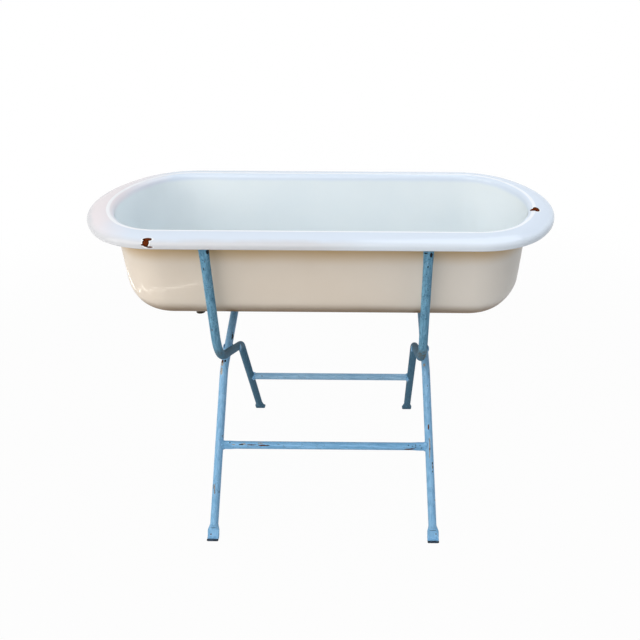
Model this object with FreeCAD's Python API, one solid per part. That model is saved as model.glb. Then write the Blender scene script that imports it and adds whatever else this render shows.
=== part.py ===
"""Enamel baby bath on a folding tube stand.

Frame of the part: X along the bath, Y across it with the front at -Y, Z up.
The origin is on the floor under the middle of the bath. Lengths are in
millimetres.

The bath is one pressed steel shell with a rolled rim. It hangs by its rim on
the four upper ends of two bent tube frames, which cross like scissors under
it and turn on a rivet at each side. A waste with a rubber plug goes through
the floor of the bath near its left end.
"""
import FreeCAD
import Part
import math
import os
from FreeCAD import Vector

# Bath shell: outline seen from above
TUB_LENGTH = 1000.0
TUB_WIDTH = 458.0
NOSE_EASE = 41.0
CORNER_RADIUS = 165.0

# Bath shell: section through the wall
RIM_HEIGHT = 748.0
FLOOR_HEIGHT = 534.0
SHEET = 2.0
CREST_INSET = 44.0
LIP_RADIUS = 10.0
LIP_DROP = 16.0
INNER_ROLL_RADIUS = 11.0
WALL_DRAFT_DEG = 3.6
FLOOR_CORNER_RADIUS = 58.0
LIP_STRAIGHT = 7.2
HEM_WIDTH = 7.0
HEM_EDGE = 1.0
FLOOR_RUN = 8.0

# Waste, seals and plug
WASTE_END_INSET = 206.0
WASTE_TAIL_LENGTH = 58.0
WASTE_RADIUS = 11.0
WASTE_SPIGOT_RADIUS = 10.4
WASTE_THREAD_SHOWING = 2.0
WASTE_WALL = 2.5
WASTE_FLANGE_RADIUS = 26.0
WASTE_FLANGE_THICKNESS = 3.0
WASTE_FLANGE_EDGE = 1.2
PLUG_SEAT_RADIUS = 10.4
PLUG_SEAT_DEPTH = 12.0
SEAL_RADIUS = 23.0
SEAL_THICKNESS = 2.0
NUT_ACROSS_FLATS = 34.0
NUT_HEIGHT = 8.0
NUT_CHAMFER = 2.0
WASTE_HOLE_CLEARANCE = 0.5
PLUG_CAP_RADIUS = 14.0
PLUG_CAP_THICKNESS = 3.0
PLUG_CLEARANCE = 0.3
PLUG_TAB_WIDTH = 11.0
PLUG_TAB_HEIGHT = 9.0
PLUG_TAB_THICKNESS = 4.0
RING_RADIUS = 9.0
RING_WIRE_RADIUS = 1.1
RING_WIRE_SIDES = 8
RING_TILT_DEG = 62.0
RING_CLEARANCE = 0.5

# Stand: tube stock
TUBE_RADIUS = 9.5
TUBE_WALL = 1.5
STRETCHER_RADIUS = 9.0

# Stand: side view of one frame, from the top end to the foot
PIVOT_HEIGHT = 368.0
LOWER_BEND_OUT = 182.0
LOWER_BEND_RISE = 84.0
LOWER_BEND_RADIUS = 104.0
UPPER_BEND_OUT = 57.0
UPPER_BEND_RADIUS = 39.0
TOP_INSET = 18.0
FOOT_OUT = 252.0

# Stand: frames across the bath
REAR_FRAME_X = 218.0
FRONT_FRAME_LEAN_DEG = 3.0

# Stand: squashed tube ends
TOP_PAD_WIDTH = 21.5
TOP_PAD_THICKNESS = 10.0
TOP_PAD_BEND_RADIUS = 7.0
TOP_PAD_REACH = 8.5
TOP_SQUASH_LENGTH = 40.0
TOP_FLAT_RUN = 4.0
FOOT_PAD_WIDTH = 27.0
FOOT_PAD_THICKNESS = 6.4
FOOT_PAD_BEND_RADIUS = 7.0
FOOT_PAD_REACH = 11.0
FOOT_SQUASH_LENGTH = 13.0
FOOT_FLAT_RUN = 13.0
RIM_SEAT_GAP = 0.3

# Stand: stretchers and their welds
FRONT_STRETCHER_HEIGHT = 188.0
REAR_STRETCHER_HEIGHT = 186.0
STRETCHER_PAD_HEIGHT = 22.5
STRETCHER_PAD_THICKNESS = 10.0
STRETCHER_SQUASH_LENGTH = 20.0
STRETCHER_PAD_LENGTH = 17.0
WELD_SIZE = 3.0

# Stand: pivots
RIVET_RADIUS = 4.0
RIVET_HEAD_RADIUS = 8.0
RIVET_HEAD_HEIGHT = 2.6
RIVET_HEAD_EDGE = 0.9
RIVET_CROWN_RADIUS = 4.5
PIVOT_CLEARANCE = 0.05
PIVOT_FLAT_DEPTH = 0.6
PIVOT_FLAT_RADIUS = 9.0
WASHER_RADIUS = 8.5
WASHER_THICKNESS = 2.1
WASHER_GAP = 0.1

# One length by which every cutting tool runs past the metal
OVERRUN = 5.0

HALF_LENGTH = TUB_LENGTH / 2
HALF_WIDTH = TUB_WIDTH / 2
NOSE_RADIUS = HALF_WIDTH + NOSE_EASE
NOSE_X = HALF_LENGTH - NOSE_RADIUS
CORNER_Y = HALF_WIDTH - CORNER_RADIUS
CORNER_X = NOSE_X + math.sqrt((NOSE_RADIUS - CORNER_RADIUS) ** 2 - CORNER_Y ** 2)
NOSE_HALF_ANGLE = math.atan2(CORNER_Y, CORNER_X - NOSE_X)
FLOOR_TOP = FLOOR_HEIGHT + SHEET
DRAFT = math.radians(WALL_DRAFT_DEG)
HEM_HEIGHT = RIM_HEIGHT - LIP_DROP - LIP_STRAIGHT
WASTE_X = WASTE_END_INSET - HALF_LENGTH
NUT_BASE = FLOOR_HEIGHT - SEAL_THICKNESS - NUT_HEIGHT
WASTE_END_HEIGHT = NUT_BASE - WASTE_TAIL_LENGTH
TOP_OUT = HALF_WIDTH - TOP_INSET
LOWER_BEND_HEIGHT = PIVOT_HEIGHT + LOWER_BEND_RISE
UPPER_BEND_HEIGHT = PIVOT_HEIGHT - UPPER_BEND_OUT * LOWER_BEND_RISE / LOWER_BEND_OUT
PIVOT_FACE = TUBE_RADIUS - PIVOT_FLAT_DEPTH
FRONT_FRAME_X = REAR_FRAME_X + 2 * PIVOT_FACE + WASHER_THICKNESS + WASHER_GAP
LEAN = math.radians(FRONT_FRAME_LEAN_DEG)
SIDES = {"left": -1, "right": 1}


def line(start, end):
    """Straight edge between two points."""
    return Part.LineSegment(start, end).toShape()


def arc(first, middle, last):
    """Round edge through three points."""
    return Part.Arc(first, middle, last).toShape()


def cylinder(radius, length, base, axis=Vector(0, 0, 1)):
    """Solid cylinder from its base point along an axis."""
    return Part.makeCylinder(radius, length, base, axis)


def revolved(points, centre):
    """Solid of revolution about the vertical line through a centre, from (radius, height) points."""
    corners = [centre + Vector(radius, 0, height) for radius, height in points]
    face = Part.Face(Part.makePolygon(corners + corners[:1]))
    return face.revolve(centre, Vector(0, 0, 1), 360)


def crest_radius():
    """Radius of the crown of the rim that runs tangent into the lip's radius."""
    across = CREST_INSET - LIP_RADIUS
    return (across ** 2 + LIP_DROP ** 2 - LIP_RADIUS ** 2) / (2 * (LIP_DROP - LIP_RADIUS))


def rim_underside(inset):
    """Height of the rim's underside at an inset from the outer edge."""
    radius = crest_radius() - SHEET
    return RIM_HEIGHT - crest_radius() + math.sqrt(radius ** 2 - (CREST_INSET - inset) ** 2)


def floor_corner_centre():
    """Centre, as (inset, height), of the round where the sloping wall turns into the floor."""
    radii = INNER_ROLL_RADIUS + FLOOR_CORNER_RADIUS
    height = FLOOR_TOP + FLOOR_CORNER_RADIUS
    drop = RIM_HEIGHT - INNER_ROLL_RADIUS + radii * math.sin(DRAFT) - height
    return CREST_INSET + radii * math.cos(DRAFT) + drop * math.tan(DRAFT), height


def floor_join_inset():
    """Inset at which the swept wall section ends and the flat floor plate begins."""
    return floor_corner_centre()[0] + FLOOR_RUN


def shell_profile():
    """Section of the bath's sheet as edges in (inset from the outer edge, height)."""
    crown = crest_radius()
    lip_centre = (LIP_RADIUS, RIM_HEIGHT - LIP_DROP)
    crown_centre = (CREST_INSET, RIM_HEIGHT - crown)
    roll_centre = (CREST_INSET, RIM_HEIGHT - INNER_ROLL_RADIUS)
    floor_centre = floor_corner_centre()
    meet = math.atan2(lip_centre[1] - crown_centre[1], lip_centre[0] - crown_centre[0])

    def at(centre, radius, angle):
        return Vector(0, centre[0] + radius * math.cos(angle), centre[1] + radius * math.sin(angle))

    def bend(centre, radius, start, end):
        return arc(at(centre, radius, start), at(centre, radius, (start + end) / 2), at(centre, radius, end))

    def skin(depth):
        """Edges of one side of the sheet, from the lip to the floor."""
        turns = [
            (lip_centre, LIP_RADIUS - depth, math.pi, meet),
            (crown_centre, crown - depth, meet, math.pi / 2),
            (roll_centre, INNER_ROLL_RADIUS - depth, math.pi / 2, DRAFT),
            (floor_centre, FLOOR_CORNER_RADIUS + depth, math.pi + DRAFT, math.pi * 3 / 2),
        ]
        edges = [bend(*turn) for turn in turns]
        wall = line(at(*turns[2][:2], DRAFT), at(*turns[3][:2], math.pi + DRAFT))
        floor_start = at(*turns[3][:2], math.pi * 3 / 2)
        floor = line(floor_start, Vector(0, floor_join_inset(), floor_start.z))
        lip_end = at(*turns[0][:3])
        return edges[:3] + [wall, edges[3], floor], lip_end

    face_side, lip_outside = skin(0)
    back_side, lip_inside = skin(SHEET)
    hem = [
        lip_outside,
        Vector(0, 0, HEM_HEIGHT + HEM_EDGE),
        Vector(0, HEM_EDGE, HEM_HEIGHT),
        Vector(0, HEM_WIDTH, HEM_HEIGHT),
        Vector(0, HEM_WIDTH, HEM_HEIGHT + SHEET),
        Vector(0, SHEET, HEM_HEIGHT + SHEET),
        lip_inside,
    ]
    closing = [line(start, end) for start, end in zip(hem, hem[1:])]
    closing.append(line(Vector(0, floor_join_inset(), FLOOR_TOP), Vector(0, floor_join_inset(), FLOOR_HEIGHT)))
    return face_side + back_side + closing


def oval_face(inset, height):
    """Flat face inside the bath's outline moved in by an inset."""
    corner = CORNER_RADIUS - inset
    nose = NOSE_RADIUS - inset
    edges = []
    for end in (1, -1):
        for side in (1, -1):
            def corner_point(angle):
                return Vector(
                    end * (CORNER_X + corner * math.cos(angle)),
                    side * (CORNER_Y + corner * math.sin(angle)),
                    height,
                )
            middle = (NOSE_HALF_ANGLE + math.pi / 2) / 2
            edges.append(arc(corner_point(NOSE_HALF_ANGLE), corner_point(middle), corner_point(math.pi / 2)))
        nose_y = nose * math.sin(NOSE_HALF_ANGLE)
        nose_x = end * (NOSE_X + nose * math.cos(NOSE_HALF_ANGLE))
        tip = Vector(end * (NOSE_X + nose), 0, height)
        edges.append(arc(Vector(nose_x, nose_y, height), tip, Vector(nose_x, -nose_y, height)))
    for side in (1, -1):
        straight_y = side * (CORNER_Y + corner)
        edges.append(line(Vector(-CORNER_X, straight_y, height), Vector(CORNER_X, straight_y, height)))
    return Part.Face(Part.Wire(Part.__sortEdges__(edges)))


def make_shell():
    """Bath shell with its rolled rim, swept round the outline, and its floor with the waste hole."""
    section = Part.Face(Part.Wire(Part.__sortEdges__(shell_profile())))
    up = Vector(0, 0, 1)

    def placed(angle, centre_x, centre_y, radius):
        """Section set on the radius of an arc, its outer edge on the outline."""
        copy = section.copy()
        copy.rotate(Vector(0, 0, 0), Vector(0, 0, 1), math.degrees(angle) + 90)
        copy.translate(Vector(centre_x + radius * math.cos(angle), centre_y + radius * math.sin(angle), 0))
        return copy

    quarter = math.pi / 2
    side = placed(quarter, -CORNER_X, CORNER_Y, CORNER_RADIUS).extrude(Vector(2 * CORNER_X, 0, 0))
    corner_turn = math.degrees(quarter - NOSE_HALF_ANGLE)
    corner = placed(NOSE_HALF_ANGLE, CORNER_X, CORNER_Y, CORNER_RADIUS)
    corner = corner.revolve(Vector(CORNER_X, CORNER_Y, 0), up, corner_turn)
    nose = placed(-NOSE_HALF_ANGLE, NOSE_X, 0, NOSE_RADIUS)
    nose = nose.revolve(Vector(NOSE_X, 0, 0), up, 2 * math.degrees(NOSE_HALF_ANGLE))
    across = Vector(0, 1, 0)
    along = Vector(1, 0, 0)
    origin = Vector(0, 0, 0)
    far_corner = corner.mirror(origin, across)
    stretches = [side, side.mirror(origin, across), corner, far_corner, nose]
    stretches += [corner.mirror(origin, along), far_corner.mirror(origin, along), nose.mirror(origin, along)]
    floor = oval_face(floor_join_inset(), FLOOR_HEIGHT).extrude(Vector(0, 0, SHEET))
    shell = floor.multiFuse(stretches).removeSplitter()
    hole = cylinder(
        WASTE_RADIUS + WASTE_HOLE_CLEARANCE,
        SHEET + 2 * OVERRUN,
        Vector(WASTE_X, 0, FLOOR_HEIGHT - OVERRUN),
    )
    return shell.cut(hole)


def make_waste():
    """Waste: a flange in the bath, a taper for the plug and a tail with a spigot for a hose below the floor."""
    centre = Vector(WASTE_X, 0, 0)
    under = FLOOR_TOP + SEAL_THICKNESS
    top = under + WASTE_FLANGE_THICKNESS
    bore = WASTE_RADIUS - WASTE_WALL
    return revolved(
        [
            (PLUG_SEAT_RADIUS, top),
            (WASTE_FLANGE_RADIUS - WASTE_FLANGE_THICKNESS, top),
            (WASTE_FLANGE_RADIUS, under + WASTE_FLANGE_EDGE),
            (WASTE_FLANGE_RADIUS, under),
            (WASTE_RADIUS, under),
            (WASTE_RADIUS, NUT_BASE - WASTE_THREAD_SHOWING),
            (WASTE_SPIGOT_RADIUS, NUT_BASE - WASTE_THREAD_SHOWING),
            (WASTE_SPIGOT_RADIUS, WASTE_END_HEIGHT),
            (bore, WASTE_END_HEIGHT),
            (bore, top - PLUG_SEAT_DEPTH),
        ],
        centre,
    )


def make_seal(base_height):
    """Flat rubber ring round the waste's tail."""
    base = Vector(WASTE_X, 0, base_height)
    ring = cylinder(SEAL_RADIUS, SEAL_THICKNESS, base)
    hole = cylinder(WASTE_RADIUS + WASTE_HOLE_CLEARANCE, SEAL_THICKNESS, base)
    return ring.cut(hole)


def make_nut():
    """Hexagon nut that pulls the waste down on its seals."""
    corner = NUT_ACROSS_FLATS / 2 / math.cos(math.pi / 6)
    points = [
        Vector(WASTE_X + corner * math.cos(step * math.pi / 3), corner * math.sin(step * math.pi / 3), NUT_BASE)
        for step in range(6)
    ]
    hexagon = Part.Face(Part.makePolygon(points + points[:1])).extrude(Vector(0, 0, NUT_HEIGHT))
    turned = revolved(
        [
            (0, NUT_BASE),
            (corner - NUT_CHAMFER, NUT_BASE),
            (corner, NUT_BASE + NUT_CHAMFER / 2),
            (corner, NUT_BASE + NUT_HEIGHT),
            (0, NUT_BASE + NUT_HEIGHT),
        ],
        Vector(WASTE_X, 0, 0),
    )
    bore = cylinder(WASTE_RADIUS, NUT_HEIGHT, Vector(WASTE_X, 0, NUT_BASE))
    return hexagon.common(turned).cut(bore)


def plug_cap_top():
    """Height of the top of the plug's cap."""
    flange_top = FLOOR_TOP + SEAL_THICKNESS + WASTE_FLANGE_THICKNESS
    return flange_top + PLUG_CLEARANCE + PLUG_CAP_THICKNESS


def plug_eye_height():
    """Height of the hole for the pull ring in the plug's tab."""
    return plug_cap_top() + PLUG_TAB_HEIGHT - PLUG_TAB_WIDTH / 2


def make_plug():
    """Rubber plug: a taper for the waste, a cap that rests on the flange and a tab for the ring."""
    cap_top = plug_cap_top()
    cap_under = cap_top - PLUG_CAP_THICKNESS
    seat_slope = (PLUG_SEAT_RADIUS - WASTE_RADIUS + WASTE_WALL) / PLUG_SEAT_DEPTH
    taper_depth = PLUG_SEAT_DEPTH - SHEET
    body = revolved(
        [
            (0, cap_under - taper_depth),
            (PLUG_SEAT_RADIUS - PLUG_CLEARANCE * 2 - seat_slope * taper_depth, cap_under - taper_depth),
            (PLUG_SEAT_RADIUS - PLUG_CLEARANCE * 2, cap_under),
            (PLUG_CAP_RADIUS, cap_under),
            (PLUG_CAP_RADIUS, cap_top - PLUG_CAP_THICKNESS / 2),
            (PLUG_CAP_RADIUS - PLUG_CAP_THICKNESS / 2, cap_top),
            (0, cap_top),
        ],
        Vector(WASTE_X, 0, 0),
    )
    half = PLUG_TAB_WIDTH / 2
    eye = plug_eye_height()
    side_x = WASTE_X - PLUG_TAB_THICKNESS / 2
    root = cap_top - PLUG_CAP_THICKNESS / 2
    outline = Part.Wire([
        line(Vector(side_x, -half, root), Vector(side_x, half, root)),
        line(Vector(side_x, half, root), Vector(side_x, half, eye)),
        arc(Vector(side_x, half, eye), Vector(side_x, 0, eye + half), Vector(side_x, -half, eye)),
        line(Vector(side_x, -half, eye), Vector(side_x, -half, root)),
    ])
    tab = Part.Face(outline).extrude(Vector(PLUG_TAB_THICKNESS, 0, 0))
    hole = cylinder(
        RING_WIRE_RADIUS + RING_CLEARANCE,
        PLUG_TAB_THICKNESS + 2 * OVERRUN,
        Vector(side_x - OVERRUN, 0, eye),
        Vector(1, 0, 0),
    )
    return body.fuse(tab).removeSplitter().cut(hole)


def make_ring():
    """Wire pull ring through the plug's tab, lying over to the front of the bath."""
    eye = Vector(WASTE_X, 0, plug_eye_height())
    step = 2 * math.pi / RING_WIRE_SIDES
    around = [
        (RING_RADIUS + RING_WIRE_RADIUS * math.cos(step * number), RING_WIRE_RADIUS * math.sin(step * number))
        for number in range(RING_WIRE_SIDES)
    ]
    ring = revolved(around, Vector(0, 0, 0))
    ring.rotate(Vector(0, 0, 0), Vector(1, 0, 0), 90)
    ring.translate(eye + Vector(0, 0, RING_RADIUS))
    ring.rotate(eye, Vector(1, 0, 0), RING_TILT_DEG)
    return ring


def section(centre, across, through, half_width, half_thickness):
    """Closed outline of a tube, round or squashed, as four edges that match one to one."""
    if half_width > half_thickness:
        reach = half_width - half_thickness
        rise = half_thickness
    else:
        reach = half_width * math.sin(math.pi / 4)
        rise = half_width * math.cos(math.pi / 4)

    def at(width, thickness):
        return centre + across * width + through * thickness

    def face_edge(sign):
        first = at(-sign * reach, sign * rise)
        last = at(sign * reach, sign * rise)
        if half_width > half_thickness:
            return line(first, last)
        return arc(first, at(0, sign * half_thickness), last)

    def side_edge(sign):
        return arc(at(sign * reach, sign * rise), at(sign * half_width, 0), at(sign * reach, -sign * rise))

    return Part.Wire([face_edge(1), side_edge(1), face_edge(-1), side_edge(-1)])


def squash(start, end, start_sides, end_sides, start_half, end_half):
    """Stretch of tube that changes in a straight taper from one section to another."""
    first = section(start, *start_sides, *start_half)
    last = section(end, *end_sides, *end_half)
    return Part.makeLoft([first, last], True, True)


class Leg:
    """One bent tube of a frame, with both ends squashed and turned outward."""

    def __init__(self, side, top_sign, pivot_x, lean):
        """Set the side of the bath, the side of Y on which the top is, the X at the pivot and the lean."""
        self.side = side
        self.top_sign = top_sign
        self.pivot = Vector(side * pivot_x, 0, PIVOT_HEIGHT)
        self.lean = lean
        self.across = Vector(1, 0, 0)
        self.outside = self.layer(0, 0)

    def world(self, out, height):
        """Point on the tube's centre plane at a distance out on the top's side and a height."""
        drop = PIVOT_HEIGHT - height
        return Vector(self.pivot.x + self.side * drop * math.tan(self.lean), self.top_sign * out, height)

    def corners(self):
        """Corners of the centre line, from the top end to the foot."""
        return [
            self.world(TOP_OUT, top_pad_height()),
            self.world(LOWER_BEND_OUT, LOWER_BEND_HEIGHT),
            self.world(-UPPER_BEND_OUT, UPPER_BEND_HEIGHT),
            self.world(-FOOT_OUT, FOOT_PAD_THICKNESS / 2),
        ]

    def end_layer(self, corner, neighbour, out_way, pad, grow, mouth_run):
        """Squashed end: a taper from the round tube, a flat run, a bend and a flat toe that points outward."""
        width, thickness, bend_radius, reach, squash_length, flat_run = pad
        inward = (neighbour - corner).normalize()
        flat_in = Vector(0, inward.y, inward.z).normalize()
        turn = math.pi - flat_in.getAngle(out_way)
        setback = bend_radius * math.tan(turn / 2)
        flat_half = (width / 2 + grow, thickness / 2 + grow)
        round_half = (TUBE_RADIUS + grow, TUBE_RADIUS + grow)
        bend_start = corner + flat_in * setback
        bend_end = corner + out_way * setback
        bisector = (flat_in + out_way).normalize()
        bend_centre = corner + bisector * (bend_radius / math.cos(turn / 2))
        flat_through = (bend_centre - bend_start).normalize()
        round_across = self.across - inward * self.across.dot(inward)
        round_across.normalize()
        round_through = flat_through - inward * flat_through.dot(inward)
        round_through.normalize()
        start = corner + inward * (setback + flat_run + squash_length)
        flat_start = bend_start + flat_in * flat_run
        taper = squash(start, flat_start, (round_across, round_through), (self.across, flat_through),
                       round_half, flat_half)
        face = Part.Face(section(bend_start, self.across, flat_through, *flat_half))
        flat = face.extrude(flat_in * flat_run)
        axis = flat_in.cross(out_way) * -1
        bend = face.revolve(bend_centre, axis, math.degrees(turn))
        end_through = (bend_centre - bend_end).normalize()
        toe_face = Part.Face(section(bend_end, self.across, end_through, *flat_half))
        toe = toe_face.extrude(out_way * (reach - setback + mouth_run))
        return start, [taper, flat, bend, toe]

    def layer(self, grow, mouth_run):
        """The whole leg at the tube's outside, or at its inside where grow is negative."""
        top, lower, upper, foot = self.corners()
        out_top = Vector(0, self.top_sign, 0)
        top_bend = (TOP_PAD_BEND_RADIUS, TOP_PAD_REACH, TOP_SQUASH_LENGTH, TOP_FLAT_RUN)
        foot_bend = (FOOT_PAD_BEND_RADIUS, FOOT_PAD_REACH, FOOT_SQUASH_LENGTH, FOOT_FLAT_RUN)
        top_pad = (TOP_PAD_WIDTH, TOP_PAD_THICKNESS, *top_bend)
        foot_pad = (FOOT_PAD_WIDTH, FOOT_PAD_THICKNESS, *foot_bend)
        top_start, top_pieces = self.end_layer(top, lower, out_top, top_pad, grow, mouth_run)
        foot_start, foot_pieces = self.end_layer(foot, upper, out_top * -1, foot_pad, grow, mouth_run)
        first = fillet_arc(top_start, lower, upper, LOWER_BEND_RADIUS)
        second = fillet_arc(lower, upper, foot_start, UPPER_BEND_RADIUS)
        spine = Part.Wire([
            line(top_start, first[0]),
            arc(*first),
            line(first[2], second[0]),
            arc(*second),
            line(second[2], foot_start),
        ])
        ring = Part.Wire(Part.makeCircle(TUBE_RADIUS + grow, top_start, first[0] - top_start))
        tube = spine.makePipeShell([ring], True, False)
        return tube.multiFuse(top_pieces + foot_pieces).removeSplitter()

    def pivot_cuts(self):
        """Rivet hole and the two small flats that the washer and the rivet's heads sit on."""
        way = Vector(1, 0, 0)
        reach = TUBE_RADIUS + OVERRUN
        hole = cylinder(RIVET_RADIUS + PIVOT_CLEARANCE, 2 * reach, self.pivot - way * reach, way)
        outer = cylinder(PIVOT_FLAT_RADIUS, OVERRUN, self.pivot + way * PIVOT_FACE, way)
        inner = cylinder(PIVOT_FLAT_RADIUS, OVERRUN, self.pivot - way * PIVOT_FACE, way * -1)
        return [hole, outer, inner]

    def solid(self):
        """The finished hollow leg."""
        return self.outside.cut(self.layer(-TUBE_WALL, OVERRUN)).cut(self.pivot_cuts())

    def axis_at(self, height):
        """Point on the centre line of the lower leg at a height."""
        upper, foot = self.corners()[2:]
        share = (upper.z - height) / (upper.z - foot.z)
        return upper + (foot - upper) * share


def fillet_arc(before, corner, after, radius):
    """Start, middle and end of the arc that rounds a corner between two straight runs."""
    back = (before - corner).normalize()
    ahead = (after - corner).normalize()
    turn = math.pi - back.getAngle(ahead)
    setback = radius * math.tan(turn / 2)
    bisector = (back + ahead).normalize()
    centre = corner + bisector * (radius / math.cos(turn / 2))
    return corner + back * setback, centre - bisector * radius, corner + ahead * setback


def top_pad_height():
    """Height of the middle of a top pad, just under the rim where the pad's tip is."""
    tip_inset = HALF_WIDTH - TOP_OUT - TOP_PAD_REACH
    return rim_underside(tip_inset) - RIM_SEAT_GAP - TOP_PAD_THICKNESS / 2


def stretcher_layer(centre_y, height, half_span, grow, squashed):
    """Cross tube on X, round all along or with ends squashed to stand upright."""
    along = Vector(1, 0, 0)
    upright = Vector(0, 0, 1)
    through = Vector(0, 1, 0)
    radius = STRETCHER_RADIUS + grow
    if not squashed:
        return cylinder(radius, 2 * half_span, Vector(-half_span, centre_y, height), along)
    pad_half = (STRETCHER_PAD_HEIGHT / 2 + grow, STRETCHER_PAD_THICKNESS / 2 + grow)
    pad_start = half_span - STRETCHER_PAD_LENGTH - TUBE_RADIUS
    round_end = pad_start - STRETCHER_SQUASH_LENGTH
    pieces = []
    for side in (-1, 1):
        start = Vector(side * round_end, centre_y, height)
        end = Vector(side * pad_start, centre_y, height)
        pieces.append(squash(start, end, (upright, through), (upright, through), (radius, radius), pad_half))
        pad_face = Part.Face(section(end, upright, through, *pad_half))
        pieces.append(pad_face.extrude(along * (side * (half_span - pad_start))))
    middle = cylinder(radius, 2 * round_end, Vector(-round_end, centre_y, height), along)
    return middle.multiFuse(pieces).removeSplitter()


def make_stretcher(legs, height, squashed):
    """Cross tube between the two legs of a frame, its ends shaped to the legs."""
    axis = legs["right"].axis_at(height)
    outer = stretcher_layer(axis.y, height, axis.x, 0, squashed)
    inner = stretcher_layer(axis.y, height, axis.x, -TUBE_WALL, squashed)
    tube = outer.cut(inner)
    for leg in legs.values():
        tube = tube.cut(leg.outside)
    return max(tube.Solids, key=lambda solid: solid.Volume)


def make_welds(legs, height, squashed):
    """Weld beads round both ends of a cross tube, by side."""
    axis = legs["right"].axis_at(height)
    reach = STRETCHER_PAD_HEIGHT / 2 if squashed else STRETCHER_RADIUS
    thin = STRETCHER_PAD_THICKNESS / 2 if squashed else STRETCHER_RADIUS
    upright = Vector(0, 0, 1)
    through = Vector(0, 1, 0)
    filler = stretcher_layer(axis.y, height, axis.x, 0, squashed)
    beads = {}
    for name, side in SIDES.items():
        lean_shift = reach * math.tan(legs[name].lean)
        seat = side * (axis.x - TUBE_RADIUS / math.cos(legs[name].lean) + lean_shift)
        start = Vector(seat - side * (WELD_SIZE + lean_shift), axis.y, height)
        end = Vector(seat + side * WELD_SIZE, axis.y, height)
        sides = (upright, through)
        bead = Part.makeLoft(
            [
                section(start, *sides, reach + WELD_SIZE / 6, thin + WELD_SIZE / 6),
                section(end, *sides, reach + WELD_SIZE, thin + WELD_SIZE),
            ],
            True,
            True,
        )
        bead = bead.cut(filler).cut(legs[name].outside)
        beads[name] = max(bead.Solids, key=lambda solid: solid.Volume)
    return beads


def make_rivet(side):
    """Rivet through both tubes of one crossing, with a low tapered head at each end."""
    ends = (side * (REAR_FRAME_X - PIVOT_FACE - WASHER_GAP), side * (FRONT_FRAME_X + PIVOT_FACE))
    low = min(ends)
    high = max(ends)
    low_head = [
        (0, low - RIVET_HEAD_HEIGHT),
        (RIVET_CROWN_RADIUS, low - RIVET_HEAD_HEIGHT),
        (RIVET_HEAD_RADIUS, low - RIVET_HEAD_EDGE),
        (RIVET_HEAD_RADIUS, low),
        (RIVET_RADIUS, low),
    ]
    high_head = [(radius, high + low - along) for radius, along in reversed(low_head)]
    rivet = revolved(low_head + high_head, Vector(0, 0, 0))
    rivet.rotate(Vector(0, 0, 0), Vector(0, 1, 0), 90)
    rivet.translate(Vector(0, 0, PIVOT_HEIGHT))
    return rivet


def make_washer(side):
    """Washer between the two tubes of one crossing."""
    base = Vector(side * (FRONT_FRAME_X - PIVOT_FACE), 0, PIVOT_HEIGHT)
    way = Vector(-side, 0, 0)
    disc = cylinder(WASHER_RADIUS, WASHER_THICKNESS, base, way)
    return disc.cut(cylinder(RIVET_RADIUS + PIVOT_CLEARANCE, WASHER_THICKNESS, base, way))


def build():
    """All pieces of the object by name."""
    rear_legs = {name: Leg(side, -1, REAR_FRAME_X, 0) for name, side in SIDES.items()}
    front_legs = {name: Leg(side, 1, FRONT_FRAME_X, LEAN) for name, side in SIDES.items()}
    pieces = {
        "tub_shell": make_shell(),
        "waste_body": make_waste(),
        "waste_top_seal": make_seal(FLOOR_TOP),
        "waste_under_seal": make_seal(FLOOR_HEIGHT - SEAL_THICKNESS),
        "waste_nut": make_nut(),
        "waste_plug": make_plug(),
        "plug_pull_ring": make_ring(),
        "front_stretcher": make_stretcher(front_legs, FRONT_STRETCHER_HEIGHT, True),
        "rear_stretcher": make_stretcher(rear_legs, REAR_STRETCHER_HEIGHT, False),
    }
    front_welds = make_welds(front_legs, FRONT_STRETCHER_HEIGHT, True)
    rear_welds = make_welds(rear_legs, REAR_STRETCHER_HEIGHT, False)
    for name, side in SIDES.items():
        pieces["front_frame_leg_" + name] = front_legs[name].solid()
        pieces["rear_frame_leg_" + name] = rear_legs[name].solid()
        pieces["front_stretcher_weld_" + name] = front_welds[name]
        pieces["rear_stretcher_weld_" + name] = rear_welds[name]
        pieces["pivot_rivet_" + name] = make_rivet(side)
        pieces["pivot_washer_" + name] = make_washer(side)
    return pieces


os.makedirs("parts", exist_ok=True)
for node, shape in build().items():
    shape.exportStep("parts/" + node + ".step")
    box = shape.BoundBox
    low = (round(box.XMin, 1), round(box.YMin, 1), round(box.ZMin, 1))
    high = (round(box.XMax, 1), round(box.YMax, 1), round(box.ZMax, 1))
    print(node, len(shape.Solids), shape.isValid(), round(shape.Volume), low, high)
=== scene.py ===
"""Enamel baby bath on a folding tube stand, finished and lit for its picture.

The bath's shell is modelled again as one rolled steel sheet with its own
finishes inside and outside. The stand, the waste and the plug keep the
frame's own solids and get their paint, brass, rubber and wire here.
"""

import logging
import math
from dataclasses import dataclass
from enum import Enum
from typing import Callable, Iterable, Optional, Union

import bpy
from mathutils import Matrix, Vector

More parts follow.
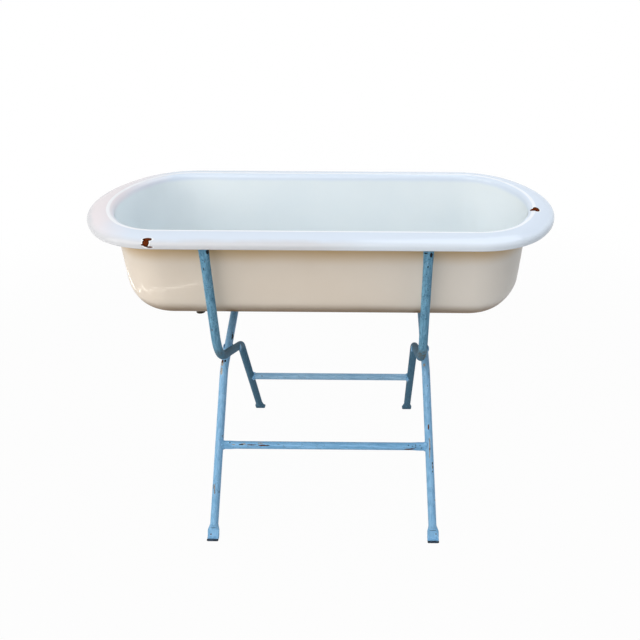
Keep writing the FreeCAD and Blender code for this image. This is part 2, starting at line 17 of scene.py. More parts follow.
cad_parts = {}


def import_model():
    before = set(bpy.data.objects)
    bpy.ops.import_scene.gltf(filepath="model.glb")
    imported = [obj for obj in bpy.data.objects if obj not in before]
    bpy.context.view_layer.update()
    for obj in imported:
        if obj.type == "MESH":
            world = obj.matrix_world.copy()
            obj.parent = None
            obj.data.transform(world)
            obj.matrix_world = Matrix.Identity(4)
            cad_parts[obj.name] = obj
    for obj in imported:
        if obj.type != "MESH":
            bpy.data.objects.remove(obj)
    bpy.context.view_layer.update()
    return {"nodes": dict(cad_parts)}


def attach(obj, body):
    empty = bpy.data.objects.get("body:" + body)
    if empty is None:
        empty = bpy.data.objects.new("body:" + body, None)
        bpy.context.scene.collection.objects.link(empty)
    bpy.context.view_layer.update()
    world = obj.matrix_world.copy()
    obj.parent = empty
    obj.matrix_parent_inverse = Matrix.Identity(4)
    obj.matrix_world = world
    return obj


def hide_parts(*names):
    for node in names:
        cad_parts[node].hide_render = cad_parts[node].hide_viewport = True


LOG = logging.getLogger("bath")
MM = 0.001
INSET = "inset"
TUB = "tub"
SHELL_NODE = "tub_shell"
WHITE = (1.0, 1.0, 1.0)
# Sockets of the Mix node when it blends colours.
MIX_SHARE, MIX_FIRST, MIX_SECOND, MIX_RESULT = 0, 6, 7, 2

Colour = tuple[float, float, float]
Place = tuple[float, float, float]
Point = tuple[float, float]
Band = tuple[float, float]
Number = Union[int, float]


class Slot(str, Enum):
    """Names of the material slots."""

    ENAMEL = "enamel"
    PAINT = "stand_paint"
    BRASS = "waste_brass"
    RUBBER = "black_rubber"
    WIRE = "ring_wire"


def srgb(red: Number, green: Number, blue: Number) -> Colour:
    """Turn a colour given in 0 to 255 steps into linear light.

    Args:
        red: Red step.
        green: Green step.
        blue: Blue step.

    Returns:
        The three linear values.
    """
    def linear(step: Number) -> float:
        """Linear light of one step."""
        share = step / 255
        return share / 12.92 if share <= 0.04045 else ((share + 0.055) / 1.055) ** 2.4
    return linear(red), linear(green), linear(blue)


@dataclass(frozen=True)
class Pattern:
    """Noise in repeats per metre, cut between two levels to a share from 0 to 1."""

    scale: float
    low: float
    high: float
    detail: float = 3.0
    roughness: float = 0.55


CLOUDS = Pattern(6.0, 0.3, 0.7, 2.0)
SPECK_AREAS = Pattern(19.0, 0.5, 0.6)
RUST_PATCHES = Pattern(330.0, 0.3, 0.55, 4.0, 0.7)
STREAKS = Pattern(230.0, 0.3, 0.7, 3.0, 0.6)
PATCHES = Pattern(15.0, 0.45, 0.75, 3.0, 0.6)
RUBBED_STREAKS = Pattern(420.0, 0.6, 0.75, 2.0, 0.6)
MOTTLE = Pattern(290.0, 0.52, 0.62, 3.0, 0.65)
MOTTLE_AREAS = Pattern(33.0, 0.42, 0.56)
PINHOLE_AREAS = Pattern(47.0, 0.52, 0.6)
SCUFFS = Pattern(300.0, 0.66, 0.7, 4.0, 0.7)
SCUFF_AREAS = Pattern(21.0, 0.5, 0.6)
PRIMER_PATCHES = Pattern(500.0, 0.35, 0.65, 3.0, 0.6)
SOIL_PATCHES = Pattern(150.0, 0.34, 0.6, 4.0, 0.7)
METAL_PATCHES = Pattern(420.0, 0.42, 0.58, 4.0, 0.7)
SMALL_PATCHES = Pattern(90.0, 0.35, 0.65, 4.0, 0.6)
FLOOR_CLOUDS = Pattern(3.0, 0.3, 0.7)

SPECK = srgb(140, 122, 98)
CHIP_RUST = (srgb(40, 10, 4), srgb(112, 50, 22))
GROUND_COAT = srgb(250, 250, 249)
RUBBED = srgb(182, 212, 235)
MOTTLED = srgb(48, 80, 104)
PRIMER = (srgb(192, 184, 170), srgb(140, 126, 114))
# Colour of pit marks, and of painted shade in the feet's creases and under the rim.
PIT_AND_SHADE = srgb(24, 30, 36)
SOIL = srgb(98, 96, 82)
# Painted shade of the open tube ends at the feet.
TUBE_MOUTH_SHADE = srgb(30, 24, 20)
METAL = (srgb(74, 36, 24), srgb(118, 84, 66))
CHIP_BORDER = srgb(34, 52, 66)
FLOOR_COLOURS = (srgb(204, 203, 201), srgb(200, 199, 197))


class Socket:
    """Output of a node that can be used in sums."""

    def __init__(self, shader: "Shader", output: bpy.types.NodeSocket) -> None:
        """Keep the shader that makes new nodes and the output to read."""
        self.shader = shader
        self.output = output

    def _join(self, kind: str, first: object, second: object) -> "Socket":
        """Put two values, sockets or numbers, through one Math node of this kind."""
        return self.shader.node("ShaderNodeMath", {"operation": kind}, {0: first, 1: second})

    def __add__(self, other: object) -> "Socket":
        """Sum."""
        return self._join("ADD", self, other)

    def __radd__(self, other: object) -> "Socket":
        """Sum with the number on the left."""
        return self._join("ADD", other, self)

    def __sub__(self, other: object) -> "Socket":
        """Difference."""
        return self._join("SUBTRACT", self, other)

    def __rsub__(self, other: object) -> "Socket":
        """Difference with the number on the left."""
        return self._join("SUBTRACT", other, self)

    def __mul__(self, other: object) -> "Socket":
        """Product."""
        return self._join("MULTIPLY", self, other)

    def __abs__(self) -> "Socket":
        """Size without its sign."""
        return self._join("ABSOLUTE", self, 0.0)

    def at_least(self, other: object) -> "Socket":
        """The larger of two values."""
        return self._join("MAXIMUM", self, other)

    def at_most(self, other: object) -> "Socket":
        """The smaller of two values."""
        return self._join("MINIMUM", self, other)

    def ramp(self, low: Number, high: Number) -> "Socket":
        """Smooth rise from 0 at one value to 1 at another.

        Args:
            low: Value at which the rise starts.
            high: Value at which it ends. It may be the smaller one for a fall.

        Returns:
            A value from 0 to 1.
        """
        if low > high:
            return 1.0 - self.ramp(high, low)
        return self.shader.node(
            "ShaderNodeMapRange",
            {"interpolation_type": "SMOOTHSTEP"},
            {"Value": self, "From Min": low, "From Max": high},
        )


class Shader:
    """Material with a node tree that is built by calls."""

    def __init__(self, name: str) -> None:
        """Make an empty node material of this name."""
        self.material = bpy.data.materials.new(name)
        self.material.use_nodes = True
        self.tree = self.material.node_tree
        self.tree.nodes.clear()
        self.place = self.node("ShaderNodeTexCoord", output="Object")

    @classmethod
    def of_tree(cls, tree: bpy.types.NodeTree) -> "Shader":
        """Use the same calls on a tree that isn't a material's.

        Args:
            tree: The tree, which is emptied.

        Returns:
            A shader on that tree.
        """
        shader = cls.__new__(cls)
        shader.tree = tree
        tree.nodes.clear()
        return shader

    def node(
        self,
        kind: str,
        settings: Optional[dict[str, object]] = None,
        inputs: Optional[dict[object, object]] = None,
        output: Union[int, str] = 0,
    ) -> Socket:
        """Add one node, with its settings first and then its values and links.

        Args:
            kind: Type of the node.
            settings: Properties of the node by name.
            inputs: Numbers, colours or sockets by input name or number.
            output: Name or number of the output to return.

        Returns:
            The chosen output.
        """
        made = self.tree.nodes.new(kind)
        for name, value in (settings or {}).items():
            setattr(made, name, value)
        for name, value in (inputs or {}).items():
            if isinstance(value, Socket):
                self.tree.links.new(value.output, made.inputs[name])
            elif made.inputs[name].type == "RGBA":
                made.inputs[name].default_value = (*value, 1.0)
            else:
                made.inputs[name].default_value = value
        return Socket(self, made.outputs[output])

    def axes(self) -> tuple[Socket, Socket, Socket]:
        """Split the place on the object into its three values."""
        split = self.node("ShaderNodeSeparateXYZ", inputs={0: self.place})
        return tuple(Socket(self, output) for output in split.output.node.outputs)

    def stretched(self, scale: Place) -> Socket:
        """Place on the object, scaled on each axis, for a drawn-out pattern."""
        return self.node("ShaderNodeMapping", inputs={"Vector": self.place, "Scale": scale})

    def noise(
        self,
        scale: float,
        detail: float = 3.0,
        roughness: float = 0.55,
        vector: Optional[Socket] = None,
    ) -> Socket:
        """Soft noise on the place on the object.

        Args:
            scale: Size of the pattern, in repeats per metre.
            detail: Number of finer layers.
            roughness: Strength of the finer layers.
            vector: Other coordinates to use.

        Returns:
            A value around one half.
        """
        inputs = {
            "Vector": vector or self.place,
            "Scale": scale,
            "Detail": detail,
            "Roughness": roughness,
        }
        return self.node("ShaderNodeTexNoise", inputs=inputs)

    def mask(self, pattern: Pattern, vector: Optional[Socket] = None) -> Socket:
        """Share from 0 to 1 that a pattern gives."""
        noise = self.noise(pattern.scale, pattern.detail, pattern.roughness, vector)
        return noise.ramp(pattern.low, pattern.high)

    def sway(self, scale: float, reach: float, detail: float = 3.0, rough: float = 0.55) -> Socket:
        """Soft shift to either side of 0, which makes a border uneven."""
        return (self.noise(scale, detail, rough) - 0.5) * reach

    def cells(self, scale: float) -> Socket:
        """Distance to the nearest of scattered points."""
        return self.node("ShaderNodeTexVoronoi", inputs={"Vector": self.place, "Scale": scale})

    def mix(self, share: object, first: object, second: object) -> Socket:
        """Blend two colours.

        Args:
            share: Part of the second colour, from 0 to 1.
            first: Colour at 0.
            second: Colour at 1.

        Returns:
            The blended colour.
        """
        settings = {"data_type": "RGBA", "clamp_factor": True}
        inputs = {MIX_SHARE: share, MIX_FIRST: first, MIX_SECOND: second}
        return self.node("ShaderNodeMix", settings, inputs, MIX_RESULT)

    def bump(self, height: Socket, strength: float, distance: float) -> Socket:
        """Surface direction turned by a height."""
        inputs = {"Height": height, "Strength": strength, "Distance": distance}
        return self.node("ShaderNodeBump", inputs=inputs)

    def finish(self, **values: object) -> bpy.types.Material:
        """Close the material with a principled surface.

        Args:
            values: Inputs of the surface, with a low line for each space.

        Returns:
            The material.
        """
        inputs = {name.replace("_", " "): value for name, value in values.items()}
        surface = self.node("ShaderNodeBsdfPrincipled", inputs=inputs)
        self.close(surface)
        return self.material

    def close(self, surface: Socket, kind: str = "ShaderNodeOutputMaterial") -> None:
        """Link a surface to the tree's output."""
        self.tree.links.new(surface.output, self.tree.nodes.new(kind).inputs["Surface"])


@dataclass(frozen=True)
class Chip:
    """Place where the coat has come off, as a spot round a point, in metres.

    The size is half of the spot's length along each axis. Its edge wanders by
    the ragged share of that, with the grain's number of repeats per metre.
    """

    place: Place
    size: Place
    ragged: float = 0.3
    grain: float = 420.0

    def distance(self, shader: Shader) -> Socket:
        """Distance from the spot's middle in its own sizes, with a ragged edge.

        Args:
            shader: Material that the nodes go in.

        Returns:
            A value that is 1 on the chip's edge.
        """
        value: object = shader.place
        for operation, other in (("SUBTRACT", self.place), ("DIVIDE", self.size)):
            inputs = {0: value, 1: other}
            value = shader.node("ShaderNodeVectorMath", {"operation": operation}, inputs)
        length = shader.node("ShaderNodeVectorMath", {"operation": "LENGTH"}, {0: value}, "Value")
        return length + shader.sway(self.grain, 2 * self.ragged, 2.0, 0.6)


def nearest(shader: Shader, chips: Iterable[Chip]) -> Optional[Socket]:
    """Distance to the nearest of some chips, in their own sizes.

    Args:
        shader: Material that the nodes go in.
        chips: The chips.

    Returns:
        The smallest distance, or nothing where there are no chips.
    """
    least: Optional[Socket] = None
    for chip in chips:
        distance = chip.distance(shader)
        least = distance if least is None else least.at_most(distance)
    return least


class Reach:
    """Heights, insets and places along the bath between which painted light, painted shade and
    dirt come in, in metres.
    """

    # Painted light: a greyer tone towards the right end.
    SIDE_LIGHT_ALONG = (0.0, 0.42)
    # Painted warm light at the left end.
    WARM_LIGHT_ALONG = (-0.36, -0.46)
    # Painted shade and reflection on the rim's outer roll: grey at the left, bluish at the right.
    LIP_SHADE_ALONG = (-0.02, 0.13)
    # Painted shade and dirt: darker towards the bottom and just below the rim.
    UNDERSIDE = (0.580, 0.546)
    BELOW_RIM = (0.722, 0.736)
    LIP_SHADE_INSET = (0.020, 0.008)
    LIP_SHADE_HEIGHT = (0.745, 0.738)
    # Painted highlight: a bright line along the rim's inner edge.
    HIGHLIGHT_OUTER = (0.039, 0.041)
    HIGHLIGHT_INNER = (0.0485, 0.0455)
    HIGHLIGHT_HEIGHT = (0.736, 0.742)


@dataclass(frozen=True)
class Enamel:
    """Fired enamel with its chips, and with painted light, painted shade and dirt that change with
    height and along the bath.
    """

    name: str
    colour: Colour
    shade: Colour
    # Colour mixed in above a height: painted sky reflection on the rim's top inside, painted shade
    # and dirt below the rim outside.
    painted_light_and_dirt_tint: Colour
    painted_light_and_dirt_band: Band
    chips: tuple[Chip, ...] = ()
    # Painted light: a greyer tone that comes in towards the right end.
    painted_side_light: Optional[Colour] = None
    # Painted warm light: a pinkish tint at the left end.
    painted_warm_light: Optional[Colour] = None
    # Painted shade and dirt: brown, darker towards the bottom and just below the rim.
    under: Optional[Colour] = None
    # Painted highlight: a bright line along the rim's inner edge.
    edge: Optional[Colour] = None
    # Painted shade and reflection on the rim's outer roll: grey at the left, bluish at the right.
    lip: Optional[tuple[Colour, Colour]] = None
    gloss: float = 0.5

    def coat(self, shader: Shader) -> Socket:
        """Colour of the whole coat, with its painted light and shade.

        Args:
            shader: Material that the nodes go in.

        Returns:
            The colour.
        """
        along, _, up = shader.axes()
        height = up + shader.sway(14.0, 0.008)
        base = shader.mix(shader.mask(CLOUDS), self.colour, self.shade)
        # Painted light: a greyer tone that comes in towards the right end.
        if self.painted_side_light is not None:
            painted_side_light = (along + shader.sway(5.0, 0.1)).ramp(*Reach.SIDE_LIGHT_ALONG)
            base = shader.mix(painted_side_light, base, self.painted_side_light)
        # Painted light and dirt by height: painted reflection on the inner rim's top, painted
        # shade and dirt below the outer rim.
        painted_light_and_dirt_tint: object = self.painted_light_and_dirt_tint
        # Painted warm light: a pinkish tint at the left end.
        if self.painted_warm_light is not None:
            end = (along + shader.sway(9.0, 0.06)).ramp(*Reach.WARM_LIGHT_ALONG)
            painted_light_and_dirt_tint = shader.mix(end, self.painted_light_and_dirt_tint, self.painted_warm_light)
        base = shader.mix(height.ramp(*self.painted_light_and_dirt_band), base, painted_light_and_dirt_tint)
        # Painted shade and dirt: brown, darker towards the bottom and just below the rim.
        if self.under is not None:
            base = shader.mix(height.ramp(*Reach.UNDERSIDE), base, self.under)
            base = shader.mix(height.ramp(*Reach.BELOW_RIM) * 0.8, base, self.under)
        inset = shader.node("ShaderNodeAttribute", {"attribute_name": INSET}, output="Fac")
        # Painted shade and reflection on the rim's outer roll: grey at the left, bluish at the
        # right.
        if self.lip is not None:
            rolled = inset.ramp(*Reach.LIP_SHADE_INSET) * height.ramp(*Reach.LIP_SHADE_HEIGHT)
            turned = shader.mix(along.ramp(*Reach.LIP_SHADE_ALONG), *self.lip)
            base = shader.mix(rolled, base, turned)
        # Painted highlight: a bright line along the rim's inner edge.
        if self.edge is not None:
            line = inset.ramp(*Reach.HIGHLIGHT_OUTER) * inset.ramp(*Reach.HIGHLIGHT_INNER)
            base = shader.mix(line * height.ramp(*Reach.HIGHLIGHT_HEIGHT) * 0.8, base, self.edge)
        specks = shader.cells(110.0).ramp(0.03, 0.018) * shader.mask(SPECK_AREAS)
        return shader.mix(specks * 0.35, base, SPECK)

    def build(self) -> bpy.types.Material:
        """Make the material.

        Returns:
            The finish, with its chips if it has any.
        """
        shader = Shader(self.name)
        base = self.coat(shader)
        gloss = 0.09 + shader.noise(9.0) * 0.05
        ripple = shader.noise(15.0, 1.0)
        distance = nearest(shader, self.chips)
        if distance is None:
            return shader.finish(
                Base_Color=base,
                Roughness=gloss + 0.2,
                Specular_IOR_Level=0.0,
                Coat_Weight=self.gloss,
                Coat_Roughness=0.075,
                Normal=shader.bump(ripple, 0.1, 0.002),
            )
        bare = distance.ramp(1.04, 0.96)
        inner = distance.ramp(0.95, 0.5) * shader.mask(RUST_PATCHES)
        base = shader.mix(distance.ramp(1.45, 1.12) * 0.85, base, GROUND_COAT)
        return shader.finish(
            Base_Color=shader.mix(bare, base, shader.mix(inner, *CHIP_RUST)),
            Roughness=gloss + 0.1 + bare * 0.6,
            Specular_IOR_Level=0.0,
            Coat_Weight=self.gloss - bare * self.gloss,
            Coat_Roughness=0.04,
            Normal=shader.bump(ripple * 0.3 - bare, 0.45, 0.0012),
        )


@dataclass(frozen=True)
class PaintedShade:
    """Painted shade: a darker colour that grows on the stand from one height down or up to
    another.
    """

    colour: Colour
    reach: Band
    share: float = 0.9


@dataclass(frozen=True)
class StandPaint:
    """Old gloss paint on steel tube, with grime, specks, scuffs and rust, and with painted shade.
    """

    name: str
    colour: Colour
    dark: Colour
    stretch: Place
    rust: tuple[Chip, ...] = ()
    scrapes: tuple[Chip, ...] = ()
    # Pit marks, and painted shade: crease lines at the feet and the rim's shadow on the pad tops.
    pits_and_shade: tuple[Chip, ...] = ()
    scuffed: float = 1.0
    grain: float = 0.0
    soil: Optional[Chip] = None
    # Painted shade where the bath shades the stand.
    painted_shade: Optional[PaintedShade] = None
    # Painted shade: the feet's open tube ends are painted dark from this distance out.
    mouth_shade: float = 0.0
    gloss: float = 0.42
    gloss_roughness: float = 0.14

    def coat(self, shader: Shader) -> Socket:
        """Colour of the paint itself, brushed along the tube, with painted shade from the bath
        above.

        Args:
            shader: Material that the nodes go in.

        Returns:
            The colour.
        """
        brushed = shader.stretched(self.stretch)
        base = shader.mix(shader.mask(STREAKS, brushed), self.dark, self.colour)
        base = shader.mix(shader.mask(PATCHES) * 0.35, base, self.dark)
        base = shader.mix(shader.mask(RUBBED_STREAKS, brushed) * 0.25, base, RUBBED)
        if self.grain:
            mottled = shader.mask(MOTTLE) * shader.mask(MOTTLE_AREAS)
            base = shader.mix(mottled * self.grain, base, MOTTLED)
        if self.painted_shade is None:
            return base
        # Painted shade: the paint darkens between two heights where the bath shades the stand.
        height = shader.axes()[2] + shader.sway(26.0, 0.03)
        shade_share = height.ramp(*self.painted_shade.reach) * (0.75 + shader.noise(60.0) * 0.5)
        return shader.mix(shade_share * self.painted_shade.share, base, self.painted_shade.colour)

    def bare(self, shader: Shader) -> Socket:
        """How far the paint is gone: small specks, scuffs along the tube and the chips.

        Args:
            shader: Material that the nodes go in.

        Returns:
            A value from 0 to 1.
        """
        brushed = shader.stretched(self.stretch)
        specks = shader.cells(330.0).ramp(0.2, 0.12) * shader.mask(PINHOLE_AREAS)
        scuffs = shader.mask(SCUFFS, brushed) * shader.mask(SCUFF_AREAS)
        gone = (scuffs * self.scuffed).at_least(specks * 0.9)
        distance = nearest(shader, self.rust)
        return gone if distance is None else gone.at_least(distance.ramp(1.08, 0.92))

    def soiled_and_shaded(self, shader: Shader, colour: Socket) -> tuple[Socket, object]:
        """Add what lies on or under the paint: scraped primer, pit marks and soil, with painted
        shade in the feet's creases, on the pad tops under the rim and on the open tube ends.

        Args:
            shader: Material that the nodes go in.
            colour: Colour so far.

        Returns:
            The colour, and how dull it is made.
        """
        dull: object = 0.0
        scraped = nearest(shader, self.scrapes)
        if scraped is not None:
            share = scraped.ramp(1.1, 0.85)
            primer = shader.mix(shader.mask(PRIMER_PATCHES), *PRIMER)
            colour = shader.mix(share * 0.9, colour, primer)
            dull = share * 0.3
        # Pit marks, and painted shade: crease lines at the feet and the rim's shadow on the pad
        # tops.
        pitted_and_shaded = nearest(shader, self.pits_and_shade)
        if pitted_and_shaded is not None:
            colour = shader.mix(pitted_and_shaded.ramp(1.1, 0.8), colour, PIT_AND_SHADE)
        if self.soil is not None:
            share = self.soil.distance(shader).ramp(1.25, 0.6) * shader.mask(SOIL_PATCHES)
            colour = shader.mix(share * 0.75, colour, SOIL)
            dull = share * 0.35 + dull
        # Painted shade: the feet's open tube ends are painted dark.
        if self.mouth_shade:
            away = abs(shader.axes()[1]) + shader.sway(160.0, 1.6 * MM)
            share = away.ramp(self.mouth_shade - 0.8 * MM, self.mouth_shade)
            colour = shader.mix(share, colour, TUBE_MOUTH_SHADE)
            dull = share * 0.5 + dull
        return colour, dull

    def build(self) -> bpy.types.Material:
        """Make the material.

        Returns:
            The finish, with metal where the paint is gone and a dark border round it.
        """
        shader = Shader(self.name)
        bare = self.bare(shader)
        gone = bare.ramp(0.3, 0.7)
        border = (bare.ramp(0.02, 0.3) - bare.ramp(0.4, 0.9)).at_least(0.0)
        colour, dull = self.soiled_and_shaded(shader, self.coat(shader))
        colour = shader.mix(border * 0.7, colour, CHIP_BORDER)
        colour = shader.mix(gone, colour, shader.mix(shader.mask(METAL_PATCHES), *METAL))
        brushed = shader.noise(230.0, 3.0, 0.6, shader.stretched(self.stretch))
        lumps = shader.noise(70.0) * 0.4 + brushed * 0.2
        return shader.finish(
            Base_Color=colour,
            Roughness=0.24 + bare * 0.5 + dull,
            Specular_IOR_Level=0.0,
            Coat_Weight=self.gloss - bare * self.gloss,
            Coat_Roughness=self.gloss_roughness,
            Normal=shader.bump(lumps - gone * 0.5, 0.4, 0.001),
        )


@dataclass(frozen=True)
class PlainFinish:
    """Small part's finish: two close colours, stirred, with a fine grain."""

    name: str
    colour: Colour
    other: Colour
    metal: float
    roughness: float
    grain: float = 0.2

    def build(self) -> bpy.types.Material:
        """Make the material.

        Returns:
            The finish.
        """
        shader = Shader(self.name)
        grain = shader.noise(900.0, 3.0, 0.6)
        return shader.finish(
            Base_Color=shader.mix(shader.mask(SMALL_PATCHES), self.colour, self.other),
            Metallic=self.metal,
            Roughness=self.roughness + (grain - 0.5) * self.grain,
            Normal=shader.bump(grain, 0.15, 0.0004),
        )


# Marks on the stand and the rim, placed as the photo shows them.
FRONT_RUST = (
    Chip((0.2451, -0.1304, 0.2333), (0.0017, 0.0080, 0.0062), 0.25),
    Chip((0.2484, -0.1558, 0.1893), (0.0011, 0.0034, 0.0034)),
    Chip((0.2612, -0.2111, 0.0838), (0.0012, 0.0022, 0.0022)),
    Chip((0.2350, -0.0520, 0.3550), (0.0012, 0.0022, 0.0015), 0.5),
    Chip((-0.2452, -0.0445, 0.3560), (0.0036, 0.0048, 0.0040), 0.6),
    Chip((-0.2568, -0.2010, 0.1100), (0.0008, 0.0045, 0.0075)),
    Chip((-0.2540, -0.2070, 0.0990), (0.0008, 0.0040, 0.0060)),
    Chip((-0.2624, -0.2516, 0.0104), (0.0016, 0.0016, 0.0016)),
    Chip((0.2639, -0.2490, 0.0148), (0.0014, 0.0014, 0.0014)),
)
FRONT_PITS_AND_CREASE_SHADE = (
    Chip((-0.2300, 0.0200, 0.3900), (0.0022, 0.0120, 0.0120), 0.9),
    Chip((0.2546, -0.1705, 0.1590), (0.0015, 0.0030, 0.0032), 0.5),
    Chip((0.2557, -0.1750, 0.1510), (0.0013, 0.0034, 0.0038), 0.5),
    Chip((0.2550, -0.1800, 0.1425), (0.0011, 0.0026, 0.0030), 0.5),
    Chip((-0.2378, -0.0450, 0.3577), (0.0024, 0.0036, 0.0030), 0.5),
    # Painted shade: dark lines in the feet's creases.
    Chip((0.2571, -0.2458, 0.0228), (0.0080, 0.0022, 0.0006)),
    Chip((-0.2571, -0.2458, 0.0250), (0.0080, 0.0022, 0.0006)),
)
FRONT_SCRAPES = (
    Chip((-0.2547, -0.2039, 0.1050), (0.0012, 0.0090, 0.0140), 0.3, 520.0),
    Chip((0.2482, -0.1547, 0.1911), (0.0016, 0.0200, 0.0300), 0.45, 520.0),
    Chip((0.2545, -0.1760, 0.1570), (0.0008, 0.0080, 0.0120), 0.35, 520.0),
    Chip((-0.2440, -0.0500, 0.3545), (0.0032, 0.0092, 0.0064), 0.5, 320.0),
    Chip((-0.2441, -0.0655, 0.3420), (0.0028, 0.0105, 0.0095), 0.6, 320.0),
    Chip((0.2346, -0.0520, 0.3550), (0.0032, 0.0050, 0.0040), 0.7),
)
REAR_PITS_AND_RIM_SHADOW = (
    # Painted shadow of the rim on the pad tops.
    Chip((0.2225, -0.2140, 0.7120), (0.0026, 0.0060, 0.0060), 0.4, 300.0),
    Chip((0.2120, -0.2140, 0.7150), (0.0040, 0.0060, 0.0014), 0.4, 300.0),
    Chip((-0.2090, -0.2140, 0.7145), (0.0036, 0.0060, 0.0060), 0.4, 300.0),
    Chip((-0.2205, -0.2140, 0.6785), (0.0011, 0.0030, 0.0036)),
    Chip((-0.2175, -0.2140, 0.6765), (0.0009, 0.0030, 0.0010)),
    Chip((0.2174, -0.2152, 0.6868), (0.0012, 0.0030, 0.0028)),
    Chip((0.2150, -0.2152, 0.6700), (0.0009, 0.0030, 0.0012)),
)
REAR_RUST = (Chip((-0.2210, -0.1992, 0.5322), (0.0010, 0.0020, 0.0024), 0.5),)
BAR_RUST = (
    Chip((-0.1710, -0.1523, 0.1939), (0.0118, 0.0018, 0.0008), 0.5),
    Chip((-0.1440, -0.1529, 0.1932), (0.0105, 0.0020, 0.0014), 0.4, 320.0),
    Chip((0.2021, -0.1543, 0.1864), (0.0130, 0.0035, 0.0021), 0.4, 320.0),
)
BAR_PITS = (
    Chip((-0.1940, -0.1520, 0.1943), (0.0062, 0.0020, 0.0013)),
    Chip((-0.1320, -0.1529, 0.1931), (0.0048, 0.0018, 0.0012)),
    Chip((-0.2210, -0.1492, 0.1976), (0.0016, 0.0020, 0.0014), 0.2),
    Chip((0.1985, -0.1509, 0.1952), (0.0013, 0.0016, 0.0013), 0.2),
    Chip((0.2073, -0.1519, 0.1935), (0.0012, 0.0016, 0.0012), 0.2),
    Chip((0.2152, -0.1516, 0.1904), (0.0016, 0.0018, 0.0012), 0.2),
    Chip((0.2151, -0.1505, 0.1955), (0.0012, 0.0016, 0.0011), 0.2),
    Chip((0.2255, -0.1505, 0.1951), (0.0012, 0.0016, 0.0012), 0.2),
    Chip((0.2293, -0.1505, 0.1872), (0.0014, 0.0016, 0.0013), 0.2),
)
BAR_SCRAPES = (
    Chip((-0.1890, -0.1510, 0.1955), (0.0060, 0.0020, 0.0015), 0.4),
    Chip((-0.1500, -0.1490, 0.1965), (0.0070, 0.0016, 0.0009), 0.6),
    Chip((-0.2120, -0.1510, 0.1935), (0.0050, 0.0020, 0.0010), 0.6),
)
REAR_BAR_RUST = (Chip((-0.1861, 0.1393, 0.1911), (0.0016, 0.0014, 0.0012)),)
BEND_SOIL = Chip((0.2300, -0.1870, 0.4560), (0.6000, 0.0220, 0.0240), 0.25, 60.0)
RIM_CHIPS = (
    Chip((-0.3206, -0.2190, 0.7424), (0.0092, 0.0046, 0.0036), 0.16, 240.0),
    Chip((-0.3226, -0.2262, 0.7380), (0.0066, 0.0085, 0.0075), 0.16, 240.0),
    Chip((-0.3285, -0.2280, 0.7350), (0.0032, 0.0030, 0.0018), 0.15, 240.0),
    Chip((-0.3150, -0.2290, 0.7308), (0.0060, 0.0040, 0.0016), 0.15, 240.0),
    Chip((0.4545, -0.0545, 0.7480), (0.0066, 0.0130, 0.0040), 0.12, 240.0),
    Chip((0.4465, -0.0570, 0.7475), (0.0062, 0.0070, 0.0050), 0.12, 240.0),
)

# How far out the feet's open ends lie.
FOOT_END = 0.2618
# Scale of the brushed pattern on each axis, which is small along the tube.
ALONG_LEG = (1.0, 0.35, 0.2)
ALONG_BAR = (0.12, 1.0, 1.0)
INSIDE = Enamel(
    "enamel_inside",
    colour=srgb(233, 240, 243),
    shade=srgb(229, 237, 241),
    # Painted reflection of the sky on the rim's top.
    painted_light_and_dirt_tint=srgb(219, 230, 244),
    painted_light_and_dirt_band=(0.728, 0.742),
    chips=RIM_CHIPS,
    # Painted warm light at the left end.
    painted_warm_light=srgb(236, 229, 233),
    # Painted highlight along the rim's inner edge.
    edge=srgb(248, 251, 255),
    # Painted shade and reflection on the rim's outer roll.
    lip=(srgb(213, 216, 222), srgb(223, 233, 244)),
    gloss=0.7,
)
OUTSIDE = Enamel(
    "enamel_outside",
    colour=srgb(231, 221, 208),
    shade=srgb(227, 216, 202),
    # Painted shade and dirt in the band below the rim.
    painted_light_and_dirt_tint=srgb(212, 182, 136),
    painted_light_and_dirt_band=(0.664, 0.71),
    # Painted light: greyer towards the right end.
    painted_side_light=srgb(233, 228, 221),
    # Painted shade and dirt below the rim and towards the bottom.
    under=srgb(134, 106, 72),
    gloss=0.35,
)
FRONT_LEGS = StandPaint(
    "paint_front_legs",
    colour=srgb(148, 200, 240),
    dark=srgb(122, 176, 218),
    stretch=ALONG_LEG,
    rust=FRONT_RUST,
    scrapes=FRONT_SCRAPES,
    # Pit marks, with painted shade in the feet's creases.
    pits_and_shade=FRONT_PITS_AND_CREASE_SHADE,
    # Painted shade of the bath on the upper legs.
    painted_shade=PaintedShade(srgb(74, 116, 144), (0.365, 0.44), 0.6),
    # Painted shade on the feet's open tube ends.
    mouth_shade=FOOT_END,
)
REAR_LEGS = StandPaint(
    "paint_rear_legs",
    # Painted shade: the rear legs' paint is a darker copy of the front legs', for the bath's
    # shadow on them.
    colour=srgb(120, 172, 202),
    dark=srgb(90, 138, 168),
    stretch=ALONG_LEG,
    rust=REAR_RUST,
    # Pit marks, with the rim's painted shadow on the pad tops.
    pits_and_shade=REAR_PITS_AND_RIM_SHADOW,
    grain=0.6,
    soil=BEND_SOIL,
    # Painted shade of the bath on the lower legs.
    painted_shade=PaintedShade(srgb(70, 112, 138), (0.50, 0.43)),
    # Painted shade on the feet's open tube ends.
    mouth_shade=FOOT_END,
    gloss=0.16,
    gloss_roughness=0.3,
)
FRONT_BAR = StandPaint(
    "paint_front_bar",
    colour=srgb(140, 196, 240),
    dark=srgb(112, 170, 214),
    stretch=ALONG_BAR,
    rust=BAR_RUST,
    scrapes=BAR_SCRAPES,
    pits_and_shade=BAR_PITS,
    scuffed=1.3,
)
REAR_BAR = StandPaint(
    "paint_rear_bar",
    colour=srgb(162, 206, 238),
    dark=srgb(136, 182, 218),
    stretch=ALONG_BAR,
    rust=REAR_BAR_RUST,
)
BRASS = PlainFinish("waste_brass", srgb(44, 38, 32), srgb(70, 60, 46), 0.9, 0.42)
RUBBER = PlainFinish("black_rubber", srgb(34, 34, 36), srgb(46, 46, 48), 0.0, 0.72)
